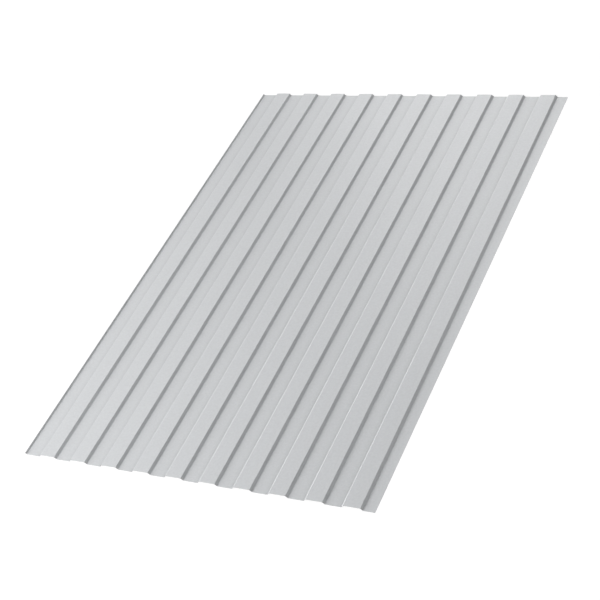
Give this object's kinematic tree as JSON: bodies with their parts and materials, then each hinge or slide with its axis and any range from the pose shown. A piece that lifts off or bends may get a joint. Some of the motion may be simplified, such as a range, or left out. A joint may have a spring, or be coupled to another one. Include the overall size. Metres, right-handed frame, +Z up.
{
  "type": "corrugated metal sheet",
  "caption": "Roll-formed sheet metal panel with low trapezoidal waves along its length, a lapping lip on one long edge and a flat flange on the other, for walls, fences and roofs.",
  "frame": {"origin": "middle of the sheet in plan, at the height of the groove floors' undersides, on which it lies", "axes": "+X across the waves, from the lip edge to the flange edge; +Y along the waves; +Z up, out of the side that the crests rise on"},
  "size_m": [1.1904, 1.75, 0.0085],
  "materials": {
    "coated_steel": "light grey coil coating, satin"
  },
  "bodies": {
    "root": {"profiled_sheet": "coated_steel"}
  },
  "joints": []
}
